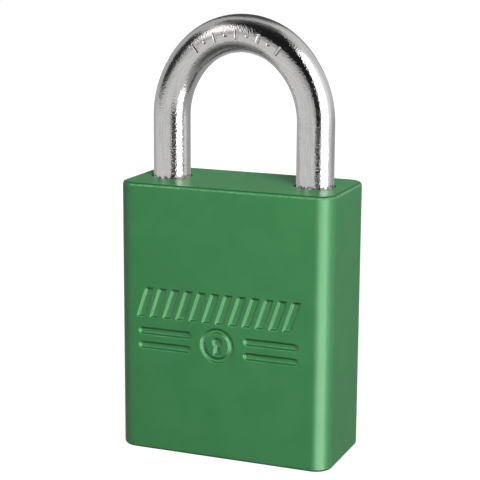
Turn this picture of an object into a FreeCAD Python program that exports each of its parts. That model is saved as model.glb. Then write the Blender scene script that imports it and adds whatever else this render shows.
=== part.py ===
import FreeCAD, Part
import math
import os

from FreeCAD import Vector

# Safety padlock with a solid body, in millimetres. +Z is up, the front face looks to -Y, and the
# origin is the middle of the body's underside. The heel leg of the shackle, which never leaves the
# body, is at -X, and the toe leg is at +X. The padlock is drawn closed, with its core turned to the
# open position, so both locking balls are drawn back.

# Body block
BODY_WIDTH = 38.1
BODY_DEPTH = 18.5
BODY_HEIGHT = 46.6
CORNER_RADIUS = 3.0
EDGE_RADIUS = 0.6
MOUTH_CHAMFER = 0.25

# Shackle
ROD_RADIUS = 3.175
LEG_X = 13.0
LEG_ABOVE_BODY = 10.4
ARCH_RISE = 14.4
CROWN_RADIUS = 11.8
LEG_BORE_RADIUS = 3.27
TOE_DEPTH = 12.5
TOE_BORE_FLOOR = 33.6
HEEL_DEPTH = 29.5
HEEL_BORE_FLOOR = 8.6
COLLAR_LENGTH = 3.0
NECK_RADIUS = 2.375
TIP_CHAMFER = 0.8
BEND_START = BODY_HEIGHT + LEG_ABOVE_BODY
CROWN_CENTRE_Z = BEND_START + ARCH_RISE - CROWN_RADIUS
TOE_TIP = BODY_HEIGHT - TOE_DEPTH
HEEL_TIP = BODY_HEIGHT - HEEL_DEPTH

# Marks struck into the front of the crown, short bars and dots by turns
MARK_COUNT = 9
MARK_PITCH_DEGREES = 9.5
MARK_TOOL_RADIUS = 0.42
MARK_LENGTH = 1.7
MARK_DEPTH = 0.2

# Locking balls and the actuator that drives them
BALL_RADIUS = 2.778
BALL_LEVEL = 39.1
BALL_BITE = 1.6
TOE_BALL_TRAVEL = 1.7
HEEL_BALL_TRAVEL = 0.945
BALL_LOCKED_X = LEG_X - ROD_RADIUS + BALL_BITE - BALL_RADIUS
TOE_BALL_OPEN_X = BALL_LOCKED_X - TOE_BALL_TRAVEL
HEEL_BALL_OPEN_X = BALL_LOCKED_X - HEEL_BALL_TRAVEL
BALL_CLEARANCE = 0.06
NOTCH_CLEARANCE = 0.12
ACTUATOR_RADIUS = 5.85
ACTUATOR_BOTTOM = 28.1
ACTUATOR_TOP = 43.0
ACTUATOR_WAIST_RADIUS = 3.8
ACTUATOR_FOOT_HEIGHT = 2.6
ACTUATOR_HEAD_HEIGHT = 7.9
ACTUATOR_CHAMBER_RADIUS = 5.93
ACTUATOR_CHAMBER_TOP = 43.4
TONGUE_WIDTH = 2.4
TONGUE_LENGTH = 7.4
TONGUE_DEPTH = 2.1

# Lock cylinder: shell, with its bible towards +X, and plug
SHELL_BOTTOM = 0.3
SHELL_TOP = 26.5
SHELL_RADIUS = 6.3
BIBLE_REACH = 15.2
BIBLE_WIDTH = 5.0
BIBLE_CORNER = 1.0
POCKET_CLEARANCE = 0.05
PLUG_RADIUS = 4.7625
PLUG_CLEARANCE = 0.03
PLUG_TOP = 28.0
FLANGE_RADIUS = 5.3
FLANGE_THICKNESS = 1.1
CLIP_RECESS_RADIUS = 5.7
CLIP_RECESS_DEPTH = 2.1
CLIP_LEVEL = 24.5
CLIP_THICKNESS = 0.75
CLIP_RADIUS = 5.5
CLIP_GAP = 5.2
GROOVE_RADIUS = 3.9
GROOVE_CLEARANCE = 0.05

# Keyway, a slot with one ward in from each side
KEYWAY_WIDTH = 2.1
KEYWAY_LOW = -4.0
KEYWAY_HIGH = 2.9
KEYWAY_END = 23.4
WARD_DEPTH = 0.75
WARD_HEIGHT = 1.0
WARD_LEVELS = (-2.3, -0.2)

# Pins, in six chambers along the core
PIN_COUNT = 6
PIN_PITCH = 3.3
FIRST_PIN_Z = 5.0
PIN_RADIUS = 1.28
CHAMBER_RADIUS = 1.32
CHAMBER_FLOOR = 0.4
KEY_PIN_LENGTHS = (3.1, 3.9, 2.9, 3.6, 4.0, 3.3)
KEY_PIN_POINT = 0.9
KEY_PIN_TIP_RADIUS = 0.35
SHEAR_GAP = 0.04
DRIVER_LENGTH = 4.0
DRIVER_EDGE = 0.25
SPOOL_PINS = (2, 5)
SPOOL_RADIUS = 0.85
SPOOL_RIM = 0.9
CAP_THICKNESS = 1.0
CAP_WIDTH = 3.4
CAP_LOW = 3.0
CAP_HIGH = 23.5
PIN_SPRING_WIRE = 0.14
PIN_SPRING_RADIUS = 0.95
PIN_SPRING_TURNS = 8

# Shackle spring, standing in the heel bore
SPRING_WIRE = 0.3
SPRING_RADIUS = 2.5
SPRING_TURNS = 9

# Screw that holds the lock cylinder, reached down the toe bore
SCREW_RADIUS = 1.5
SCREW_TIP = 24.0
SCREW_HEAD_RADIUS = 2.5
SCREW_HEAD_HEIGHT = 1.6
SCREW_HEAD_SEAT = 31.8
SCREW_HOLE_CLEARANCE = 0.1
HEX_ACROSS_FLATS = 2.0
HEX_DEPTH = 1.0

UP = Vector(0, 0, 1)
ALONG_X = Vector(1, 0, 0)
ALONG_Y = Vector(0, 1, 0)
ORIGIN = Vector(0, 0, 0)
PIN_LEVELS = [FIRST_PIN_Z + PIN_PITCH * i for i in range(PIN_COUNT)]


def upright(radius, low, high, x=0.0):
    """A vertical cylinder on the padlock's middle plane."""
    return Part.makeCylinder(radius, high - low, Vector(x, 0, low), UP)


def block(x_low, x_high, width, z_low, z_high):
    """A box centred on the padlock's middle plane."""
    corner = Vector(x_low, -width / 2, z_low)
    return Part.makeBox(x_high - x_low, width, z_high - z_low, corner)


def turned(profile, base=ORIGIN, axis=UP):
    """A turned solid. The profile lists (radius, height) from one end of the axis to the other."""
    points = [Vector(radius, 0, height) for radius, height in profile]
    face = Part.Face(Part.makePolygon(points + points[:1]))
    solid = face.revolve(ORIGIN, UP, 360)
    solid.Placement = FreeCAD.Placement(base, FreeCAD.Rotation(UP, axis))
    return solid


def coil_spring(wire, radius, length, turns, base, axis):
    """An open-coiled spring of round wire that fits between two planes a length apart. Each half
    turn is a half circle tilted to climb half the pitch, and the halves run tangent into each other."""
    climb = (length - 2 * wire) / (2 * turns)
    section = Part.Face(Part.Wire([Part.makeCircle(wire, Vector(radius, 0, wire), ALONG_Y)]))
    path = []
    for i in range(2 * turns):
        side = 1 if i % 2 == 0 else -1
        start = Vector(side * radius, 0, wire + climb * i)
        end = Vector(-side * radius, 0, wire + climb * (i + 1))
        middle = (start + end) * 0.5
        middle.y = side * math.hypot(radius, climb / 2)
        path.append(Part.Arc(start, middle, end).toShape())
    spring = Part.Wire(path).makePipe(section)
    spring.Placement = FreeCAD.Placement(base, FreeCAD.Rotation(UP, axis))
    return spring


def rounded_block():
    solid = block(-BODY_WIDTH / 2, BODY_WIDTH / 2, BODY_DEPTH, 0, BODY_HEIGHT)
    uprights = [e for e in solid.Edges if abs(e.tangentAt(e.FirstParameter).z) > 0.9]
    solid = solid.makeFillet(CORNER_RADIUS, uprights)
    rims = [e for e in solid.Edges if e.BoundBox.ZLength < 0.01]
    return solid.makeFillet(EDGE_RADIUS, rims)


def leg_bore(x, floor):
    """A shackle bore from the top of the body, with a small chamfer at its mouth."""
    wide = LEG_BORE_RADIUS + MOUTH_CHAMFER
    profile = [
        (0, floor),
        (LEG_BORE_RADIUS, floor),
        (LEG_BORE_RADIUS, BODY_HEIGHT - MOUTH_CHAMFER),
        (wide, BODY_HEIGHT),
        (wide, BODY_HEIGHT + 1),
        (0, BODY_HEIGHT + 1),
    ]
    return turned(profile, Vector(x, 0, 0))


def core_outline(gap, low, high):
    """The barrel and bible of the lock cylinder, swollen by a gap."""
    barrel = upright(SHELL_RADIUS + gap, low, high)
    bible = block(0, BIBLE_REACH + gap, BIBLE_WIDTH + 2 * gap, low, high)
    far_edges = [e for e in bible.Edges if e.BoundBox.XMin > BIBLE_REACH - 1 and e.BoundBox.ZLength > 1]
    return barrel.fuse(bible.makeFillet(BIBLE_CORNER, far_edges)).removeSplitter()


def body():
    solid = rounded_block()
    core_pocket = core_outline(POCKET_CLEARANCE, -1, SHELL_TOP + POCKET_CLEARANCE)
    actuator_chamber = upright(ACTUATOR_CHAMBER_RADIUS, SHELL_TOP, ACTUATOR_CHAMBER_TOP)
    ball_window = Part.makeCylinder(
        BALL_RADIUS + BALL_CLEARANCE, 2 * LEG_X, Vector(-LEG_X, 0, BALL_LEVEL), ALONG_X)
    screw_hole = upright(SCREW_RADIUS + SCREW_HOLE_CLEARANCE, SHELL_TOP, TOE_BORE_FLOOR, LEG_X)
    screw_seat = upright(
        SCREW_HEAD_RADIUS + SCREW_HOLE_CLEARANCE, SCREW_HEAD_SEAT, TOE_BORE_FLOOR + 1, LEG_X)
    cuts = [
        leg_bore(-LEG_X, HEEL_BORE_FLOOR),
        leg_bore(LEG_X, TOE_BORE_FLOOR),
        core_pocket,
        actuator_chamber,
        ball_window,
        screw_hole,
        screw_seat,
    ]
    for cut in cuts:
        solid = solid.cut(cut)
    return solid


def arch_path():
    """Centre line from the toe leg over the arch to the heel leg: shoulder, crown and shoulder
    arcs that run tangent into one another and into the straight legs."""
    crown_height = ARCH_RISE - CROWN_RADIUS
    shoulder_radius = (CROWN_RADIUS ** 2 - LEG_X ** 2 - crown_height ** 2) / (2 * (CROWN_RADIUS - LEG_X))
    shoulder_centre = LEG_X - shoulder_radius
    shoulder_turn = math.atan2(crown_height, -shoulder_centre)

    def shoulder_point(turn):
        x = shoulder_centre + shoulder_radius * math.cos(turn)
        return Vector(x, 0, BEND_START + shoulder_radius * math.sin(turn))

    def mirrored(point):
        return Vector(-point.x, point.y, point.z)

    start = Vector(LEG_X, 0, BODY_HEIGHT - 2)
    bend = shoulder_point(0)
    middle = shoulder_point(shoulder_turn / 2)
    join = shoulder_point(shoulder_turn)
    top = Vector(0, 0, BEND_START + ARCH_RISE)
    edges = [
        Part.LineSegment(start, bend).toShape(),
        Part.Arc(bend, middle, join).toShape(),
        Part.Arc(join, top, mirrored(join)).toShape(),
        Part.Arc(mirrored(join), mirrored(middle), mirrored(bend)).toShape(),
        Part.LineSegment(mirrored(bend), mirrored(start)).toShape(),
    ]
    return Part.Wire(edges)


def heel_leg():
    """The long leg: a collar at the bottom that can't pass its ball, and a neck that can."""
    step = ROD_RADIUS - NECK_RADIUS
    collar_top = HEEL_TIP + COLLAR_LENGTH
    return turned([
        (0, HEEL_TIP),
        (ROD_RADIUS - TIP_CHAMFER, HEEL_TIP),
        (ROD_RADIUS, HEEL_TIP + TIP_CHAMFER),
        (ROD_RADIUS, collar_top),
        (NECK_RADIUS, collar_top + step / 2),
        (NECK_RADIUS, BALL_LEVEL),
        (ROD_RADIUS, BALL_LEVEL + step),
        (ROD_RADIUS, BODY_HEIGHT - 2),
        (0, BODY_HEIGHT - 2),
    ], Vector(-LEG_X, 0, 0))


def toe_leg():
    return turned([
        (0, TOE_TIP),
        (ROD_RADIUS - TIP_CHAMFER, TOE_TIP),
        (ROD_RADIUS, TOE_TIP + TIP_CHAMFER),
        (ROD_RADIUS, BODY_HEIGHT - 2),
        (0, BODY_HEIGHT - 2),
    ], Vector(LEG_X, 0, 0))


def ball_notch(side):
    centre = Vector(side * BALL_LOCKED_X, 0, BALL_LEVEL)
    return Part.makeSphere(BALL_RADIUS + NOTCH_CLEARANCE, centre)


def crown_marks():
    """The cutters of the struck marks. The bars point at the centre of the crown."""
    front = -(ROD_RADIUS + MARK_TOOL_RADIUS - MARK_DEPTH)
    marks = []
    for i in range(MARK_COUNT):
        turn = math.radians(90 + MARK_PITCH_DEGREES * (i - (MARK_COUNT - 1) / 2))
        outward = Vector(math.cos(turn), 0, math.sin(turn))
        middle = Vector(0, front, CROWN_CENTRE_Z) + outward * CROWN_RADIUS
        if i % 2:
            marks.append(Part.makeSphere(MARK_TOOL_RADIUS, middle))
        else:
            start = middle - outward * (MARK_LENGTH / 2)
            marks.append(Part.makeCylinder(MARK_TOOL_RADIUS, MARK_LENGTH, start, outward))
    return marks


def shackle():
    section = Part.Face(Part.Wire([Part.makeCircle(ROD_RADIUS, Vector(LEG_X, 0, BODY_HEIGHT - 2), UP)]))
    rod = arch_path().makePipe(section)
    rod = rod.fuse([heel_leg(), toe_leg()]).removeSplitter()
    return rod.cut([ball_notch(-1), ball_notch(1)] + crown_marks())


def ball(x):
    return Part.makeSphere(BALL_RADIUS, Vector(x, 0, BALL_LEVEL))


def ball_ramp(open_x, facing):
    """A quarter-turn ramp that lets a ball in by its full travel. It is a ball-ended cut along an
    off-centre quarter circle, and facing is the angle at which the ramp is deepest."""
    mean = (BALL_LOCKED_X + open_x) / 2
    offset = (BALL_LOCKED_X - open_x) / 2
    cutter = BALL_RADIUS + BALL_CLEARANCE
    centre = Vector(-offset, offset, BALL_LEVEL)
    deep_end = Vector(open_x, 0, BALL_LEVEL)
    shallow_end = Vector(0, BALL_LOCKED_X, BALL_LEVEL)
    ramp = Part.makeTorus(math.hypot(mean, offset), cutter, centre, UP, -180, 180, 90)
    ramp.rotate(centre, UP, math.degrees(math.atan2(-offset, mean)))
    ramp = ramp.fuse([Part.makeSphere(cutter, deep_end), Part.makeSphere(cutter, shallow_end)])
    ramp.rotate(ORIGIN, UP, facing)
    return ramp


def actuator():
    foot_top = ACTUATOR_BOTTOM + ACTUATOR_FOOT_HEIGHT
    head_bottom = ACTUATOR_TOP - ACTUATOR_HEAD_HEIGHT
    spindle = turned([
        (0, ACTUATOR_BOTTOM),
        (ACTUATOR_RADIUS, ACTUATOR_BOTTOM),
        (ACTUATOR_RADIUS, foot_top),
        (ACTUATOR_WAIST_RADIUS, foot_top + 0.8),
        (ACTUATOR_WAIST_RADIUS, head_bottom - 0.8),
        (ACTUATOR_RADIUS, head_bottom),
        (ACTUATOR_RADIUS, ACTUATOR_TOP),
        (0, ACTUATOR_TOP),
    ])
    tongue = block(
        -TONGUE_LENGTH / 2, TONGUE_LENGTH / 2, TONGUE_WIDTH, ACTUATOR_BOTTOM - TONGUE_DEPTH, ACTUATOR_BOTTOM)
    solid = spindle.fuse(tongue)
    return solid.cut(ball_ramp(TOE_BALL_OPEN_X, 0)).cut(ball_ramp(HEEL_BALL_OPEN_X, 180))


def cylinder_shell():
    solid = core_outline(0, SHELL_BOTTOM, SHELL_TOP)
    flange_seat = SHELL_BOTTOM + FLANGE_THICKNESS + PLUG_CLEARANCE
    cuts = [
        upright(PLUG_RADIUS + PLUG_CLEARANCE, 0, SHELL_TOP + 1),
        upright(FLANGE_RADIUS + PLUG_CLEARANCE, 0, flange_seat),
        upright(CLIP_RECESS_RADIUS, SHELL_TOP - CLIP_RECESS_DEPTH, SHELL_TOP + 1),
        block(BIBLE_REACH - CAP_THICKNESS, BIBLE_REACH + 1, CAP_WIDTH, CAP_LOW, CAP_HIGH),
        upright(SCREW_RADIUS, SCREW_TIP, SHELL_TOP + 1, LEG_X),
    ]
    for level in PIN_LEVELS:
        cuts.append(Part.makeCylinder(CHAMBER_RADIUS, BIBLE_REACH, Vector(0, 0, level), ALONG_X))
    for cut in cuts:
        solid = solid.cut(cut)
    return solid


def keyway():
    """The slot that takes the key, open at the front of the plug."""
    half = KEYWAY_WIDTH / 2
    slot = Part.makeBox(
        KEYWAY_WIDTH, KEYWAY_HIGH - KEYWAY_LOW, KEYWAY_END, Vector(-half, KEYWAY_LOW, 0))
    for side, level in zip((-1, 1), WARD_LEVELS):
        corner = Vector(min(side * half, side * (half - WARD_DEPTH)), level, 0)
        slot = slot.cut(Part.makeBox(WARD_DEPTH, WARD_HEIGHT, KEYWAY_END, corner))
    return slot


def plug():
    groove_bottom = CLIP_LEVEL - GROOVE_CLEARANCE
    groove_top = CLIP_LEVEL + CLIP_THICKNESS + GROOVE_CLEARANCE
    solid = turned([
        (0, SHELL_BOTTOM),
        (FLANGE_RADIUS, SHELL_BOTTOM),
        (FLANGE_RADIUS, SHELL_BOTTOM + FLANGE_THICKNESS),
        (PLUG_RADIUS, SHELL_BOTTOM + FLANGE_THICKNESS),
        (PLUG_RADIUS, groove_bottom),
        (GROOVE_RADIUS, groove_bottom),
        (GROOVE_RADIUS, groove_top),
        (PLUG_RADIUS, groove_top),
        (PLUG_RADIUS, PLUG_TOP),
        (0, PLUG_TOP),
    ])
    tongue_slot = block(
        -PLUG_RADIUS, PLUG_RADIUS, TONGUE_WIDTH + 0.1, ACTUATOR_BOTTOM - TONGUE_DEPTH - 0.1, PLUG_TOP + 1)
    solid = solid.cut(keyway()).cut(tongue_slot)
    for level in PIN_LEVELS:
        chamber = Part.makeCylinder(
            CHAMBER_RADIUS, PLUG_RADIUS, Vector(0, CHAMBER_FLOOR, level), ALONG_Y)
        solid = solid.cut(chamber)
    return solid


def plug_retaining_clip():
    ring = upright(CLIP_RADIUS, CLIP_LEVEL, CLIP_LEVEL + CLIP_THICKNESS)
    ring = ring.cut(upright(GROOVE_RADIUS, CLIP_LEVEL - 1, CLIP_LEVEL + 1 + CLIP_THICKNESS))
    return ring.cut(block(0, CLIP_RADIUS + 1, CLIP_GAP, CLIP_LEVEL - 1, CLIP_LEVEL + 2))


def key_pin(length, level):
    """A pin in the plug, its flat end just inside the plug's surface and its point towards the key."""
    flat_end = math.sqrt(PLUG_RADIUS ** 2 - PIN_RADIUS ** 2) - SHEAR_GAP
    return turned([
        (0, 0),
        (KEY_PIN_TIP_RADIUS, 0),
        (PIN_RADIUS, KEY_PIN_POINT),
        (PIN_RADIUS, length),
        (0, length),
    ], Vector(0, flat_end - length, level), ALONG_Y)


def driver_pin(number, level):
    """A pin in the bible that meets the plug's surface. The spool-shaped ones have a thin waist."""
    profile = [(0, 0), (PIN_RADIUS - DRIVER_EDGE, 0), (PIN_RADIUS, DRIVER_EDGE)]
    if number in SPOOL_PINS:
        profile += [
            (PIN_RADIUS, SPOOL_RIM),
            (SPOOL_RADIUS, SPOOL_RIM),
            (SPOOL_RADIUS, DRIVER_LENGTH - SPOOL_RIM),
            (PIN_RADIUS, DRIVER_LENGTH - SPOOL_RIM),
        ]
    profile += [
        (PIN_RADIUS, DRIVER_LENGTH - DRIVER_EDGE),
        (PIN_RADIUS - DRIVER_EDGE, DRIVER_LENGTH),
        (0, DRIVER_LENGTH),
    ]
    return turned(profile, Vector(PLUG_RADIUS + SHEAR_GAP, 0, level), ALONG_X)


def pin_spring(level):
    start = PLUG_RADIUS + SHEAR_GAP + DRIVER_LENGTH
    length = BIBLE_REACH - CAP_THICKNESS - start
    return coil_spring(
        PIN_SPRING_WIRE, PIN_SPRING_RADIUS, length, PIN_SPRING_TURNS, Vector(start, 0, level), ALONG_X)


def pin_chamber_cap():
    return block(BIBLE_REACH - CAP_THICKNESS, BIBLE_REACH, CAP_WIDTH, CAP_LOW, CAP_HIGH)


def shackle_spring():
    return coil_spring(
        SPRING_WIRE, SPRING_RADIUS, HEEL_TIP - HEEL_BORE_FLOOR, SPRING_TURNS,
        Vector(-LEG_X, 0, HEEL_BORE_FLOOR), UP)


def cylinder_screw():
    head_top = SCREW_HEAD_SEAT + SCREW_HEAD_HEIGHT
    solid = turned([
        (0, SCREW_TIP),
        (SCREW_RADIUS - 0.4, SCREW_TIP),
        (SCREW_RADIUS, SCREW_TIP + 0.4),
        (SCREW_RADIUS, SCREW_HEAD_SEAT),
        (SCREW_HEAD_RADIUS, SCREW_HEAD_SEAT),
        (SCREW_HEAD_RADIUS, head_top - 0.3),
        (SCREW_HEAD_RADIUS - 0.3, head_top),
        (0, head_top),
    ], Vector(LEG_X, 0, 0))
    corner = HEX_ACROSS_FLATS / math.sqrt(3)
    corners = []
    for i in range(6):
        angle = math.radians(60 * i)
        x = LEG_X + corner * math.cos(angle)
        corners.append(Vector(x, corner * math.sin(angle), head_top - HEX_DEPTH))
    socket = Part.Face(Part.makePolygon(corners + corners[:1])).extrude(Vector(0, 0, HEX_DEPTH + 1))
    return solid.cut(socket)


def all_parts():
    parts = {
        "body": body(),
        "shackle": shackle(),
        "toe_ball": ball(TOE_BALL_OPEN_X),
        "heel_ball": ball(-HEEL_BALL_OPEN_X),
        "actuator": actuator(),
        "cylinder_shell": cylinder_shell(),
        "plug": plug(),
        "plug_retaining_clip": plug_retaining_clip(),
        "pin_chamber_cap": pin_chamber_cap(),
        "cylinder_screw": cylinder_screw(),
        "shackle_spring": shackle_spring(),
    }
    for number, level in enumerate(PIN_LEVELS, start=1):
        parts[f"key_pin_{number}"] = key_pin(KEY_PIN_LENGTHS[number - 1], level)
        parts[f"driver_pin_{number}"] = driver_pin(number, level)
        parts[f"pin_spring_{number}"] = pin_spring(level)
    return parts


os.makedirs("parts", exist_ok=True)
for name, shape in all_parts().items():
    shape.exportStep(f"parts/{name}.step")
    print(f"{name:22s} {shape.Volume:10.3f} mm3  valid {shape.isValid()}  solids {len(shape.Solids)}")
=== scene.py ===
import math

import bmesh
import bpy
import numpy as np
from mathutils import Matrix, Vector


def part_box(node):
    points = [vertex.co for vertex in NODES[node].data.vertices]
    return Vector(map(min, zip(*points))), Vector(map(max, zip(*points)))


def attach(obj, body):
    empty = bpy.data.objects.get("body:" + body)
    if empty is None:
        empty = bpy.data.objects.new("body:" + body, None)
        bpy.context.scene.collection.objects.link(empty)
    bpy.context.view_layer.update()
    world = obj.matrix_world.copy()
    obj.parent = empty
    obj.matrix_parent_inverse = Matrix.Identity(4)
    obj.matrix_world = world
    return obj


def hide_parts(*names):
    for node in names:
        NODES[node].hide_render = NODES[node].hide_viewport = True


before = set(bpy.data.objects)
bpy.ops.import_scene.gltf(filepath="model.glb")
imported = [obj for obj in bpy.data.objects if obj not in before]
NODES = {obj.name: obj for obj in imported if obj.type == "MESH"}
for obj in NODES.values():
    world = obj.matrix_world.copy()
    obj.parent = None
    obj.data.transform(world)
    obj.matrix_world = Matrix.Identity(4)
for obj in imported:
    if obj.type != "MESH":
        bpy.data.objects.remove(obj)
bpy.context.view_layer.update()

MM = 0.001
PIN_COUNT = 6

# The body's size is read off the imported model. Its radii, and where the shackle's legs and bend are, are
# the design's own.
body_low, body_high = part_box("body")
WIDTH = body_high.x - body_low.x
DEPTH = body_high.y - body_low.y
HEIGHT = body_high.z
LEG_X = 13.0 * MM
CORNER_RADIUS = 3.0 * MM
EDGE_RADIUS = 0.6 * MM
BEND_START = HEIGHT + 10.4 * MM


# ---------------------------------------------------------------- camera

# Angles are in degrees.
CAMERA_AZIMUTH = 21.89
CAMERA_ELEVATION = 12.12
CAMERA_ROLL = 0.36
CAMERA_DISTANCE = 260.25 * MM
CLIP_START = 10 * MM
SENSOR_WIDTH = 36
LENS = 113.94
AIM = Vector((-0.73 * MM, 0.91 * MM, HEIGHT - 10.52 * MM))


def direction(azimuth, elevation):
    """The way from the object towards a place given by its azimuth from the camera and its elevation."""
    turned = math.radians(azimuth + CAMERA_AZIMUTH)
    raised = math.radians(elevation)
    flat = math.cos(raised)
    return Vector((math.sin(turned) * flat, -math.cos(turned) * flat, math.sin(raised)))


def add_camera():
    data = bpy.data.cameras.new("camera")
    data.lens = LENS
    data.sensor_width = SENSOR_WIDTH
    data.clip_start = CLIP_START
    camera = bpy.data.objects.new("camera", data)
    back = direction(0, CAMERA_ELEVATION)
    camera.location = AIM + back * CAMERA_DISTANCE
    camera.rotation_euler = back.to_track_quat("Z", "Y").to_euler()
    camera.rotation_euler.rotate_axis("Z", math.radians(CAMERA_ROLL))
    bpy.context.scene.collection.objects.link(camera)
    bpy.context.scene.camera = camera


# ---------------------------------------------------------------- shader helpers

# The mix node has its sockets once for each kind of data. These are the ones for colours.
MIX_FACTOR, MIX_FIRST, MIX_SECOND, MIX_RESULT = 0, 6, 7, 2


def new_material(name):
    """A material with one principled shader, with its node tree and that shader."""
    material = bpy.data.materials.new(name)
    material.use_nodes = True
    tree = material.node_tree
    tree.nodes.clear()
    output = tree.nodes.new("ShaderNodeOutputMaterial")
    shader = tree.nodes.new("ShaderNodeBsdfPrincipled")
    tree.links.new(shader.outputs["BSDF"], output.inputs["Surface"])
    return material, tree, shader


def object_coordinates(tree):
    return tree.nodes.new("ShaderNodeTexCoord").outputs["Object"]


def noise(tree, vector, size, detail, roughness):
    """Noise whose grains are about size metres across."""
    node = tree.nodes.new("ShaderNodeTexNoise")
    node.inputs["Scale"].default_value = 1 / size
    node.inputs["Detail"].default_value = detail
    node.inputs["Roughness"].default_value = roughness
    tree.links.new(vector, node.inputs["Vector"])
    return node.outputs["Fac"]


def math_node(tree, operation, first, second=None):
    node = tree.nodes.new("ShaderNodeMath")
    node.operation = operation
    for socket, value in zip(node.inputs, (first, second)):
        if isinstance(value, (int, float)):
            socket.default_value = value
        elif value is not None:
            tree.links.new(value, socket)
    return node.outputs[0]


def remap(tree, value, low, high, to_low, to_high):
    """Goes from to_low at low to to_high at high, easing in and out, and stays level beyond them."""
    node = tree.nodes.new("ShaderNodeMapRange")
    node.interpolation_type = "SMOOTHSTEP"
    for name, number in (("From Min", low), ("From Max", high), ("To Min", to_low), ("To Max", to_high)):
        node.inputs[name].default_value = number
    tree.links.new(value, node.inputs["Value"])
    return node.outputs["Result"]


def band(tree, value, rise, fall):
    """1 between two slopes and 0 beyond them. Each slope is where it starts and where it ends."""
    return math_node(tree, "MULTIPLY", remap(tree, value, *rise, 0, 1), remap(tree, value, *fall, 1, 0))


def mix_colours(tree, factor, first, second):
    node = tree.nodes.new("ShaderNodeMix")
    node.data_type = "RGBA"
    for number, value in ((MIX_FACTOR, factor), (MIX_FIRST, first), (MIX_SECOND, second)):
        if isinstance(value, tuple):
            node.inputs[number].default_value = (*value, 1)
        else:
            tree.links.new(value, node.inputs[number])
    return node.outputs[MIX_RESULT]


def bump(tree, height, depth):
    """A bump whose height of 1 stands depth metres proud."""
    node = tree.nodes.new("ShaderNodeBump")
    node.inputs["Strength"].default_value = 1
    node.inputs["Distance"].default_value = depth
    tree.links.new(height, node.inputs["Height"])
    return node.outputs["Normal"]


# ---------------------------------------------------------------- studio

# Each patch of the studio is its azimuths from the camera, positive to the right, at its middle height,
# its elevations, the half width of its soft edge, its lean in azimuth per degree of height, all in
# degrees, and its radiance. A later patch lies over the earlier ones.
STUDIO_BASE = 0.45
STUDIO_PATCHES = (
    ((-200, 200), (-100, -57), 6, 0, 0.09),
    ((75, 165), (-56, -3), 5, 0, 0.36),
    ((-200, 70), (-58, -44), 4, 0, 0.27),
    ((-116, 34), (-44, -3), 3, 0, 0.64),
    ((62, 106), (-64, -33), 5, 0, 0.09),
    ((-146, -100), (-62, -36), 5, 0, 0.10),
    ((80, 150), (0, 74), 8, 0, 0.62),
    ((-115, 110), (72, 100), 6, 0, 0.12),
    ((-118, -52), (52, 78), 5, 0, 0.10),
    ((-70, 44), (48, 76), 4, 0, 0.03),
    ((-62, 30), (42, 64), 4, 0, 0.016),
    ((-42, 30), (12, 52), 3, 0, 0.012),
    ((-4, 29), (-13, 22), 2.5, 0, 0.018),
    ((-110, -70), (1, 36), 4, -0.4, 0.035),
    ((-73, -47), (14, 44), 2.5, -0.5, 1.25),
    ((60, 102), (-12, 46), 12, 0, 0.90),
    ((31, 76), (-34, 49), 2, 0, 2.20),
    ((158, 200), (2, 60), 5, 0, 0.08),
    ((-200, -158), (2, 60), 5, 0, 0.08),
)


def soft_range(tree, value, low, high, soft):
    """1 from low to high and 0 beyond, with edges that fade over soft to either side."""
    return band(tree, value, (low - soft, low + soft), (high - soft, high + soft))


def studio_patch(tree, azimuth, elevation, patch, below):
    """Mixes one soft-edged patch of the surroundings over what is below it."""
    (left, right), (low, high), soft, lean, radiance = patch
    if lean:
        above_middle = math_node(tree, "SUBTRACT", elevation, (low + high) / 2)
        azimuth = math_node(tree, "SUBTRACT", azimuth, math_node(tree, "MULTIPLY", above_middle, lean))
    inside = math_node(
        tree, "MULTIPLY",
        soft_range(tree, azimuth, left, right, soft),
        soft_range(tree, elevation, low, high, soft))
    return mix_colours(tree, inside, below, (radiance,) * 3)


def add_surroundings():
    """What the metal reflects: a studio of grey, dark and bright patches round the object."""
    world = bpy.data.worlds.new("studio")
    bpy.context.scene.world = world
    world.use_nodes = True
    tree = world.node_tree
    tree.nodes.clear()
    turn = tree.nodes.new("ShaderNodeVectorRotate")
    turn.rotation_type = "Z_AXIS"
    turn.inputs["Angle"].default_value = -math.radians(CAMERA_AZIMUTH)
    tree.links.new(tree.nodes.new("ShaderNodeTexCoord").outputs["Generated"], turn.inputs["Vector"])
    split = tree.nodes.new("ShaderNodeSeparateXYZ")
    tree.links.new(turn.outputs["Vector"], split.inputs[0])
    towards_camera = math_node(tree, "MULTIPLY", split.outputs["Y"], -1.0)
    azimuth = math_node(tree, "DEGREES", math_node(tree, "ARCTAN2", split.outputs["X"], towards_camera))
    elevation = math_node(tree, "DEGREES", math_node(tree, "ARCSINE", split.outputs["Z"]))
    colour = (STUDIO_BASE,) * 3
    for patch in STUDIO_PATCHES:
        colour = studio_patch(tree, azimuth, elevation, patch, colour)
    background = tree.nodes.new("ShaderNodeBackground")
    output = tree.nodes.new("ShaderNodeOutputWorld")
    tree.links.new(colour, background.inputs["Color"])
    tree.links.new(background.outputs[0], output.inputs["Surface"])
    world.cycles_visibility.diffuse = False


# Each lamp is its azimuth from the camera and its elevation in degrees, its distance and size in metres,
# and its power in watts. The lamps light what is matt, and the studio round them what is glossy.
LAMPS = (
    ("key", 22, 36, 0.42, 0.17, 1.32),
    ("front_fill", -30, 25, 0.40, 0.30, 0.13),
    ("side_fill", 100, 10, 0.60, 0.30, 0.26),
    ("back_fill", 185, 14, 0.70, 0.40, 2.4),
)

# Soft lamps whose glow shows on the casing alone: down its corners, and along its upper edge. The first
# stays lower than the top face, which would mirror it. Each is its azimuth and elevation, distance, width,
# height and radiance.
STRIPS = (
    ("corner_strip", 23, -24, 0.45, 0.44, 0.42, 6.5),
    ("edge_strip", -60, 26, 0.45, 0.13, 0.13, 5.5),
)


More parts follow.
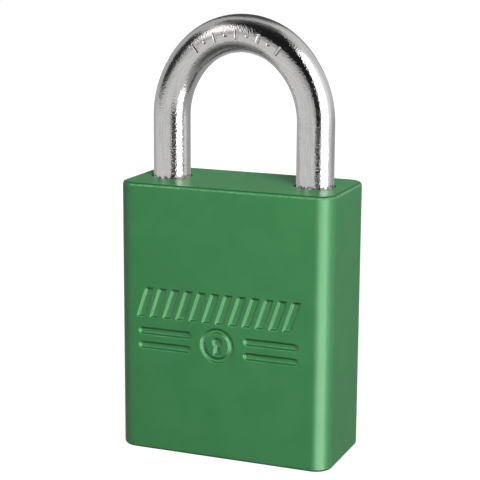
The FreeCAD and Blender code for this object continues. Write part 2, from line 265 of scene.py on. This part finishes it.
def add_lamp(name, azimuth, elevation, distance):
    """A flat lamp that faces the object."""
    lamp = bpy.data.objects.new(name, bpy.data.lights.new(name, "AREA"))
    towards = direction(azimuth, elevation)
    lamp.location = AIM + towards * distance
    lamp.rotation_euler = towards.to_track_quat("Z", "Y").to_euler()
    bpy.context.scene.collection.objects.link(lamp)
    return lamp


def add_lamps():
    for name, azimuth, elevation, distance, size, power in LAMPS:
        lamp = add_lamp(name, azimuth, elevation, distance)
        lamp.data.energy = power
        lamp.data.size = size
        lamp.visible_glossy = False


def add_strips(piece):
    """The strips light one piece alone, and only its gloss."""
    lit = bpy.data.collections.new("lit_by_strips")
    lit.objects.link(piece)
    for name, azimuth, elevation, distance, width, height, radiance in STRIPS:
        strip = add_lamp(name, azimuth, elevation, distance)
        strip.data.shape = "RECTANGLE"
        strip.data.size = width
        strip.data.size_y = height
        strip.data.energy = radiance * math.pi * width * height
        strip.visible_diffuse = False
        strip.light_linking.receiver_collection = lit


FLOOR_SIZE = 3.2
FLOOR_GLOW = 0.996
FLOOR_SHADE = 0.18
BACKDROP_RADIUS = 3.8


def add_stage(name, build, material):
    """A thing that the camera sees, and that neither lights the object nor shows in it."""
    data = bpy.data.meshes.new(name)
    mesh = bmesh.new()
    build(mesh)
    mesh.to_mesh(data)
    mesh.free()
    data.materials.append(material)
    thing = bpy.data.objects.new(name, data)
    bpy.context.scene.collection.objects.link(thing)
    thing.visible_glossy = False
    thing.visible_diffuse = False
    thing.visible_shadow = False


def add_floor():
    """A pale floor that is lit evenly, with only a faint shadow round the object."""
    material, tree, shader = new_material("pale_floor")
    shader.inputs["Base Color"].default_value = (FLOOR_SHADE, FLOOR_SHADE, FLOOR_SHADE, 1)
    shader.inputs["Roughness"].default_value = 0.9
    shader.inputs["Specular IOR Level"].default_value = 0
    shader.inputs["Emission Color"].default_value = (1, 1, 1, 1)
    shader.inputs["Emission Strength"].default_value = FLOOR_GLOW
    add_stage(
        "floor", lambda mesh: bmesh.ops.create_grid(mesh, x_segments=1, y_segments=1, size=FLOOR_SIZE),
        material)


def add_backdrop():
    """A white dome behind the far edge of the floor."""
    material = bpy.data.materials.new("white_backdrop")
    material.use_nodes = True
    tree = material.node_tree
    tree.nodes.clear()
    glow = tree.nodes.new("ShaderNodeEmission")
    glow.inputs["Color"].default_value = (1, 1, 1, 1)
    output = tree.nodes.new("ShaderNodeOutputMaterial")
    tree.links.new(glow.outputs[0], output.inputs["Surface"])
    add_stage(
        "backdrop",
        lambda mesh: bmesh.ops.create_uvsphere(mesh, u_segments=48, v_segments=24, radius=BACKDROP_RADIUS),
        material)


# ---------------------------------------------------------------- materials

GREEN = (0.102, 0.434, 0.153)
GREEN_DEEP = (0.092, 0.410, 0.141)
# The next two are painted: a dark reflection along the casing's top edges, and a highlight on faces that
# slope up.
GREEN_SHADE = (0.022, 0.180, 0.052)
PAINTED_HIGHLIGHT_GREEN = (0.24, 0.56, 0.31)
# Painted shade: the bores' greens are darkened to stand for the shade deep in the holes.
BORE_SHADE_GREENS = (0.020, 0.115, 0.036), (0.030, 0.150, 0.050)
CLOUD_SIZE = 7 * MM
BLAST_SIZE = 0.3 * MM
BLAST_DEPTH = 0.014 * MM
HIGHLIGHT_PATCH_SIZE = 0.9 * MM
CASING_ROUGHNESS = 0.28, 0.38
SHEEN = 0.46
SHEEN_ROUGHNESS = 0.33
# The painted highlight on edges that slope up and the painted dark reflection over it round the casing's
# edges, and the flats with no sheen, as slopes in how far a face points up, or straight to a side.
PALE_LINE = (0.1, 0.25), (0.45, 0.6)
DARK_LINE = (0.6, 0.75), (0.93, 0.99)
FLATS = 0.985, 0.999

PLATING = (0.76, 0.75, 0.74), (0.84, 0.83, 0.82)
PAINTED_RING_SHADE = (0.06, 0.06, 0.065)
PIT_SIZE = 0.25 * MM
DRAW_LINE_SIZE = 0.22 * MM
DRAW_LINE_SHARE = 0.35
DRAW_LINE_SHRINK = 0.08
PLATING_RELIEF = 0.031 * MM
PLATING_ROUGHNESS = 0.04, 0.10
# Painted dark reflection of the case: the ring round each leg, as slopes in height above the closed case.
SHADE_RING_HEIGHTS = (-0.7 * MM, -0.3 * MM), (0.15 * MM, 0.6 * MM)


def anodised_green():
    """Dyed anodising over bead-blasted aluminium: satin, grained and faintly cloudy.

    Its up-sloping edges carry a patchy painted highlight, and a painted dark reflection in a line above.
    The rounded corners and the top have a thin sheen that the milled sides lack.
    """
    material, tree, shader = new_material("anodised_green")
    place = object_coordinates(tree)
    clouds = remap(tree, noise(tree, place, CLOUD_SIZE, 4, 0.6), 0.38, 0.62, 0, 1)
    colour = mix_colours(tree, clouds, GREEN_DEEP, GREEN)
    facing = tree.nodes.new("ShaderNodeSeparateXYZ")
    tree.links.new(tree.nodes.new("ShaderNodeNewGeometry").outputs["Normal"], facing.inputs[0])
    up = facing.outputs["Z"]
    # Painted highlight: pale green on faces that slope up, broken into patches.
    highlight_patches = remap(tree, noise(tree, place, HIGHLIGHT_PATCH_SIZE, 3, 0.7), 0.46, 0.58, 0, 0.8)
    pale = math_node(tree, "MULTIPLY", band(tree, up, *PALE_LINE), highlight_patches)
    colour = mix_colours(tree, pale, colour, PAINTED_HIGHLIGHT_GREEN)
    # Painted dark reflection: a deeper green line where an edge turns into the top.
    colour = mix_colours(tree, band(tree, up, *DARK_LINE), colour, GREEN_SHADE)
    tree.links.new(colour, shader.inputs["Base Color"])
    grain = noise(tree, place, BLAST_SIZE, 3, 0.6)
    tree.links.new(remap(tree, grain, 0.3, 0.7, *CASING_ROUGHNESS), shader.inputs["Roughness"])
    tree.links.new(bump(tree, grain, BLAST_DEPTH), shader.inputs["Normal"])
    sideways = math_node(tree, "ABSOLUTE", facing.outputs["X"])
    forwards = math_node(tree, "ABSOLUTE", facing.outputs["Y"])
    straight = math_node(tree, "MAXIMUM", sideways, forwards)
    tree.links.new(remap(tree, straight, *FLATS, SHEEN, 0), shader.inputs["Coat Weight"])
    shader.inputs["Coat Roughness"].default_value = SHEEN_ROUGHNESS
    shader.inputs["Specular IOR Level"].default_value = 0.10
    shader.inputs["Metallic"].default_value = 0.02
    return material


def shaded_bore_green():
    """The same dye inside the bores, where the tool left it matt, darkened as painted shade deep in the
    holes.
    """
    material, tree, shader = new_material("shaded_bore_green")
    marks = noise(tree, object_coordinates(tree), 0.5 * MM, 3, 0.6)
    colour = mix_colours(tree, remap(tree, marks, 0.4, 0.6, 0, 1), *BORE_SHADE_GREENS)
    tree.links.new(colour, shader.inputs["Base Color"])
    shader.inputs["Roughness"].default_value = 0.75
    shader.inputs["Specular IOR Level"].default_value = 0.1
    return material


def along_the_rod(tree):
    """Coordinates that follow the bent rod: across it, and shrunk along it, which stretches a pattern."""
    split = tree.nodes.new("ShaderNodeSeparateXYZ")
    tree.links.new(object_coordinates(tree), split.inputs[0])
    x, y, z = split.outputs
    above = math_node(tree, "MAXIMUM", math_node(tree, "SUBTRACT", z, BEND_START), 0)
    squares = math_node(
        tree, "ADD", math_node(tree, "MULTIPLY", x, x), math_node(tree, "MULTIPLY", above, above))
    bent = math_node(tree, "MULTIPLY", math_node(tree, "ARCTAN2", above, x), LEG_X)
    along = math_node(tree, "ADD", math_node(tree, "MINIMUM", z, BEND_START), bent)
    join = tree.nodes.new("ShaderNodeCombineXYZ")
    tree.links.new(math_node(tree, "SQRT", squares), join.inputs[0])
    tree.links.new(y, join.inputs[1])
    tree.links.new(math_node(tree, "MULTIPLY", along, DRAW_LINE_SHRINK), join.inputs[2])
    return join.outputs[0]


def plated_shackle():
    """Bright plating over drawn rod: nearly a mirror, finely pitted, with painted dark reflection by the
    case.
    """
    material, tree, shader = new_material("plated_shackle")
    place = object_coordinates(tree)
    pits = noise(tree, place, PIT_SIZE, 1, 0.5)
    lines = noise(tree, along_the_rod(tree), DRAW_LINE_SIZE, 2, 0.5)
    relief = math_node(tree, "ADD", pits, math_node(tree, "MULTIPLY", lines, DRAW_LINE_SHARE))
    tree.links.new(bump(tree, relief, PLATING_RELIEF), shader.inputs["Normal"])
    tree.links.new(remap(tree, pits, 0.3, 0.7, *PLATING_ROUGHNESS), shader.inputs["Roughness"])
    tint = mix_colours(tree, remap(tree, lines, 0.35, 0.65, 0, 1), *PLATING)
    split = tree.nodes.new("ShaderNodeSeparateXYZ")
    tree.links.new(place, split.inputs[0])
    # Painted dark reflection of the case: a patchy dark ring where each leg leaves it.
    ring = band(tree, math_node(tree, "SUBTRACT", split.outputs["Z"], HEIGHT), *SHADE_RING_HEIGHTS)
    patchy = remap(tree, noise(tree, place, 0.6 * MM, 3, 0.7), 0.40, 0.56, 0, 0.9)
    tint = mix_colours(tree, math_node(tree, "MULTIPLY", ring, patchy), tint, PAINTED_RING_SHADE)
    tree.links.new(tint, shader.inputs["Base Color"])
    shader.inputs["Metallic"].default_value = 1
    return material


def turned_metal(name, light, dark, rough, mark_size):
    """A machined metal with fine tool marks and a little tarnish."""
    material, tree, shader = new_material(name)
    place = object_coordinates(tree)
    tarnish = remap(tree, noise(tree, place, 2.4 * MM, 4, 0.6), 0.4, 0.7, 0, 1)
    marks = noise(tree, place, mark_size, 3, 0.6)
    tree.links.new(mix_colours(tree, tarnish, light, dark), shader.inputs["Base Color"])
    tree.links.new(remap(tree, marks, 0.3, 0.7, rough * 0.8, rough * 1.3), shader.inputs["Roughness"])
    tree.links.new(bump(tree, marks, 0.004 * MM), shader.inputs["Normal"])
    shader.inputs["Metallic"].default_value = 1
    return material


def one_per_pin(name):
    return tuple(f"{name}_{number}" for number in range(1, PIN_COUNT + 1))


# Each machined metal is its name, its colour bright and tarnished, its roughness, the size of its tool
# marks and the nodes made of it.
METALS = (
    ("core_brass", (0.78, 0.60, 0.30), (0.60, 0.43, 0.20), 0.28, 0.18 * MM,
     ("cylinder_shell", "plug", "pin_chamber_cap")),
    ("pin_brass", (0.82, 0.64, 0.32), (0.70, 0.52, 0.25), 0.22, 0.18 * MM,
     one_per_pin("key_pin")),
    ("plated_steel", (0.66, 0.66, 0.65), (0.52, 0.52, 0.50), 0.30, 0.18 * MM,
     ("actuator", "cylinder_screw")),
    ("nickel_silver", (0.74, 0.72, 0.67), (0.62, 0.60, 0.55), 0.24, 0.18 * MM,
     one_per_pin("driver_pin")),
    ("spring_steel", (0.58, 0.58, 0.60), (0.42, 0.42, 0.43), 0.26, 0.1 * MM,
     ("shackle_spring", "plug_retaining_clip", *one_per_pin("pin_spring"))),
    ("ball_steel", (0.74, 0.74, 0.76), (0.70, 0.70, 0.72), 0.10, 0.3 * MM,
     ("toe_ball", "heel_ball")),
)


def set_material(node, material):
    slots = NODES[node].data.materials
    slots.clear()
    slots.append(material)


def dress_cad_nodes():
    set_material("shackle", plated_shackle())
    for *looks, nodes in METALS:
        metal = turned_metal(*looks)
        for node in nodes:
            set_material(node, metal)


# ---------------------------------------------------------------- casing

# The emblem is pressed into the front: a row of slanted bars over a keyhole in a ring between bars.
EMBLEM_CENTRE_X = -0.7 * MM
EMBLEM_DEPTH = 0.40 * MM
EMBLEM_WALL = 0.46 * MM
BAR_COUNT = 12
BAR_PITCH = 2.4 * MM
BAR_HALF_WIDTH = 0.62 * MM
BAR_HALF_HEIGHT = 2.45 * MM
BAR_SLANT = 0.34
BAR_ROUNDING = 0.12 * MM
BAR_LEVEL = 26.2 * MM
SIGN_LEVEL = 19.9 * MM
RING_RADIUS = 2.55 * MM
RING_HALF_WIDTH = 0.36 * MM
SIDE_BAR_HALF_WIDTH = 4.7 * MM
SIDE_BAR_OFFSET = 9.6 * MM
SIDE_BAR_RISE = 1.25 * MM
SIDE_BAR_HALF_HEIGHT = 0.5 * MM
KEYHOLE_RISE = 0.55 * MM
KEYHOLE_RADIUS = 0.72 * MM
SLOT_HALF_WIDTH = 0.30 * MM
SLOT_HALF_HEIGHT = 0.95 * MM
SLOT_TAPER = 0.16

# The casing's grid: fine over the emblem, coarse elsewhere.
FINE_STEP = 0.1 * MM
COARSE_STEP = 1.5 * MM
EMBLEM_ROWS = (16.6 * MM, 29.8 * MM)
SIDE_COLUMNS = 8
BACK_COLUMNS = 22
CORNER_COLUMNS = 14
EDGE_ROWS = 6

WELD = 0.002 * MM
SKIN_TOLERANCE = 0.04 * MM
SHARP_ANGLE = math.radians(30)
INNER, OUTER, CAP_TOP, CAP_BOTTOM = range(4)


def box_distance(x, z, half_width, half_height, rounding):
    """Distance from a rounded rectangle round the origin, less than zero inside it."""
    across = np.abs(x) - half_width + rounding
    up = np.abs(z) - half_height + rounding
    outside = np.hypot(np.maximum(across, 0), np.maximum(up, 0))
    return outside + np.minimum(np.maximum(across, up), 0) - rounding


def slanted_bar(x, z):
    upright = math.cos(math.atan(BAR_SLANT))
    square_x = (x - z * BAR_SLANT) * upright
    return box_distance(square_x, z, BAR_HALF_WIDTH * upright, BAR_HALF_HEIGHT, BAR_ROUNDING)


def keyhole(x, z):
    """A round hole over a slot that widens downwards."""
    bow = np.hypot(x, z - KEYHOLE_RISE) - KEYHOLE_RADIUS
    taper = SLOT_HALF_WIDTH - z * SLOT_TAPER
    slot = np.maximum(np.abs(x) - taper, np.abs(z + KEYHOLE_RISE) - SLOT_HALF_HEIGHT)
    return np.minimum(bow, slot)


def emblem_distance(x, z):
    """Distance from the emblem's outline, less than zero inside it."""
    x = x - EMBLEM_CENTRE_X
    nearest = np.full_like(x, 1.0)
    for number in range(BAR_COUNT):
        place = (number - (BAR_COUNT - 1) / 2) * BAR_PITCH
        nearest = np.minimum(nearest, slanted_bar(x - place, z - BAR_LEVEL))
    z = z - SIGN_LEVEL
    ring = np.abs(np.hypot(x, z) - RING_RADIUS) - RING_HALF_WIDTH
    nearest = np.minimum(nearest, np.minimum(ring, keyhole(x, z)))
    for side in (-1, 1):
        for rise in (-SIDE_BAR_RISE, SIDE_BAR_RISE):
            bar = box_distance(
                x - side * SIDE_BAR_OFFSET, z - rise,
                SIDE_BAR_HALF_WIDTH, SIDE_BAR_HALF_HEIGHT, SIDE_BAR_HALF_HEIGHT)
            nearest = np.minimum(nearest, bar)
    return nearest


def emblem_depth(x, z):
    """How deep the front is pressed in, with walls that slope over EMBLEM_WALL."""
    inside = np.clip(0.5 - emblem_distance(x, z) / EMBLEM_WALL, 0, 1)
    return EMBLEM_DEPTH * inside * inside * (3 - 2 * inside)


def perimeter():
    """The body's plan, counter-clockwise from the front left: arc centres and directions."""
    across = WIDTH / 2 - CORNER_RADIUS
    deep = DEPTH / 2 - CORNER_RADIUS
    front_columns = round(2 * across / FINE_STEP)
    sides = (
        ((-across, -deep), (across, -deep), -90, front_columns),
        ((across, -deep), (across, deep), 0, SIDE_COLUMNS),
        ((across, deep), (-across, deep), 90, BACK_COLUMNS),
        ((-across, deep), (-across, -deep), 180, SIDE_COLUMNS),
    )
    centres, angles = [], []
    for start, end, facing, count in sides:
        for share in np.linspace(0, 1, count + 1):
            centres.append(np.array(start) * (1 - share) + np.array(end) * share)
            angles.append(facing)
        for step in range(1, CORNER_COLUMNS):
            centres.append(np.array(end))
            angles.append(facing + 90 * step / CORNER_COLUMNS)
    turned = np.radians(angles)
    directions = np.stack([np.cos(turned), np.sin(turned)], axis=1)
    return np.array(centres), directions, front_columns + 1


def profile():
    """The casing's section from bottom to top: swing radius, level and the tilt of its face."""
    tilt = np.radians(np.linspace(-90, 0, EDGE_ROWS + 1))
    lower = [
        (CORNER_RADIUS - EDGE_RADIUS * (1 - math.cos(t)), EDGE_RADIUS * (1 + math.sin(t)), t)
        for t in tilt]
    upper = [(radius, HEIGHT - level, -t) for radius, level, t in reversed(lower)]
    stops = (EDGE_RADIUS, *EMBLEM_ROWS, HEIGHT - EDGE_RADIUS)
    levels = []
    for low, high, step in zip(stops, stops[1:], (COARSE_STEP, FINE_STEP, COARSE_STEP)):
        levels.extend(np.linspace(low, high, round((high - low) / step) + 1)[1:])
    wall = [(CORNER_RADIUS, level, 0.0) for level in levels[:-1]]
    return np.array(lower + wall + upper)


def outer_skin():
    """Points and normals of the casing's outside, row by row, with the emblem in its front."""
    centres, directions, front_count = perimeter()
    radius, level, tilt = profile().T
    points = np.empty((len(level), len(centres), 3))
    normals = np.empty_like(points)
    points[..., :2] = centres[None] + directions[None] * radius[:, None, None]
    points[..., 2] = level[:, None]
    normals[..., :2] = directions[None] * np.cos(tilt)[:, None, None]
    normals[..., 2] = np.sin(tilt)[:, None]
    walls = np.nonzero(tilt == 0)[0]
    front = np.ix_(walls, range(front_count))
    x, z = points[front][..., 0], points[front][..., 2]
    small = FINE_STEP / 10
    slope_x = (emblem_depth(x + small, z) - emblem_depth(x - small, z)) / (2 * small)
    slope_z = (emblem_depth(x, z + small) - emblem_depth(x, z - small)) / (2 * small)
    facing = np.stack([slope_x, -np.ones_like(x), slope_z], axis=2)
    normals[front] = facing / np.linalg.norm(facing, axis=2, keepdims=True)
    pressed = points[front]
    pressed[..., 1] += emblem_depth(x, z)
    points[front] = pressed
    return points, normals


def past_corner(first, second):
    """Distance from a square corner, from how far a point is past each of its two sides."""
    return math.hypot(max(first, 0), max(second, 0)) + min(max(first, second), 0)


def skin_distance(point):
    """How far a point is from the outside of the plain rounded block."""
    across = abs(point.x) - WIDTH / 2 + CORNER_RADIUS
    deep = abs(point.y) - DEPTH / 2 + CORNER_RADIUS
    plan = past_corner(across, deep) - CORNER_RADIUS + EDGE_RADIUS
    up = abs(point.z - HEIGHT / 2) - HEIGHT / 2 + EDGE_RADIUS
    return abs(past_corner(plan, up) - EDGE_RADIUS)


def add_skin(mesh, kind, facing):
    """Adds the outer skin, and returns its vertices row by row."""
    rows = []
    for point_row, normal_row in zip(*outer_skin()):
        rows.append([mesh.verts.new(point) for point in point_row])
        for vertex, normal in zip(rows[-1], normal_row):
            vertex[facing] = normal
    for lower, upper in zip(rows, rows[1:]):
        for column in range(len(lower)):
            after = (column + 1) % len(lower)
            face = mesh.faces.new((lower[column], lower[after], upper[after], upper[column]))
            face[kind] = OUTER
    return rows


def add_cap(mesh, kind, row, mouths, top):
    """Fills the top or the bottom, from the skin's last row to the mouths of the bores there."""
    rim = [mesh.edges.get((vertex, row[number - 1])) for number, vertex in enumerate(row)]
    rim += [edge for edge in mouths if (edge.verts[0].co.z > HEIGHT / 2) == top]
    filled = bmesh.ops.triangle_fill(mesh, use_beauty=True, edges=rim, normal=(0, 0, 1 if top else -1))
    for face in filled["geom"]:
        if isinstance(face, bmesh.types.BMFace):
            face[kind] = CAP_TOP if top else CAP_BOTTOM


def casing_geometry():
    """The CAD body's bores and pockets inside a finer outer skin that carries the emblem."""
    mesh = bmesh.new()
    mesh.from_mesh(NODES["body"].data)
    bmesh.ops.remove_doubles(mesh, verts=mesh.verts, dist=WELD)
    skin = [face for face in mesh.faces if skin_distance(face.calc_center_median()) < SKIN_TOLERANCE]
    bmesh.ops.delete(mesh, geom=skin, context="FACES")
    kind = mesh.faces.layers.int.new("kind")
    facing = mesh.verts.layers.float_vector.new("facing")
    mouths = [edge for edge in mesh.edges if edge.is_boundary]
    rows = add_skin(mesh, kind, facing)
    add_cap(mesh, kind, rows[0], mouths, False)
    add_cap(mesh, kind, rows[-1], mouths, True)
    bmesh.ops.recalc_face_normals(mesh, faces=mesh.faces)
    return mesh


def read(items, name, numbers_each, kind):
    """One attribute of all the items, as a flat array."""
    values = np.empty(len(items) * numbers_each, dtype=kind)
    items.foreach_get(name, values)
    return values


def corner_normals(data, kinds):
    """The skin's own normals, upright ones on the caps, and zero inside, where Blender finds them."""
    facing = read(data.attributes["facing"].data, "vector", 3, float).reshape(-1, 3)
    normals = facing[read(data.loops, "vertex_index", 1, np.int32)]
    corner_kinds = np.repeat(kinds, read(data.polygons, "loop_total", 1, np.int32))
    normals[corner_kinds == INNER] = 0
    normals[corner_kinds == CAP_TOP] = (0, 0, 1)
    normals[corner_kinds == CAP_BOTTOM] = (0, 0, -1)
    return normals.tolist()


def casing():
    """The visible body, which replaces the CAD one and rides on the case."""
    geometry = casing_geometry()
    data = bpy.data.meshes.new("casing")
    geometry.to_mesh(data)
    geometry.free()
    data.set_sharp_from_angle(angle=SHARP_ANGLE)
    data.polygons.foreach_set("use_smooth", [True] * len(data.polygons))
    kinds = read(data.attributes["kind"].data, "value", 1, np.int32)
    data.normals_split_custom_set(corner_normals(data, kinds))
    for name in ("kind", "facing"):
        data.attributes.remove(data.attributes[name])
    data.materials.append(anodised_green())
    data.materials.append(shaded_bore_green())
    data.polygons.foreach_set("material_index", (kinds == INNER).astype(np.int32))
    piece = bpy.data.objects.new("casing", data)
    bpy.context.scene.collection.objects.link(piece)
    piece.visible_glossy = False
    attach(piece, "case")
    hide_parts("body")
    return piece


add_camera()
add_surroundings()
add_floor()
add_backdrop()
add_lamps()
add_strips(casing())
dress_cad_nodes()
bpy.context.scene.view_settings.view_transform = "Standard"
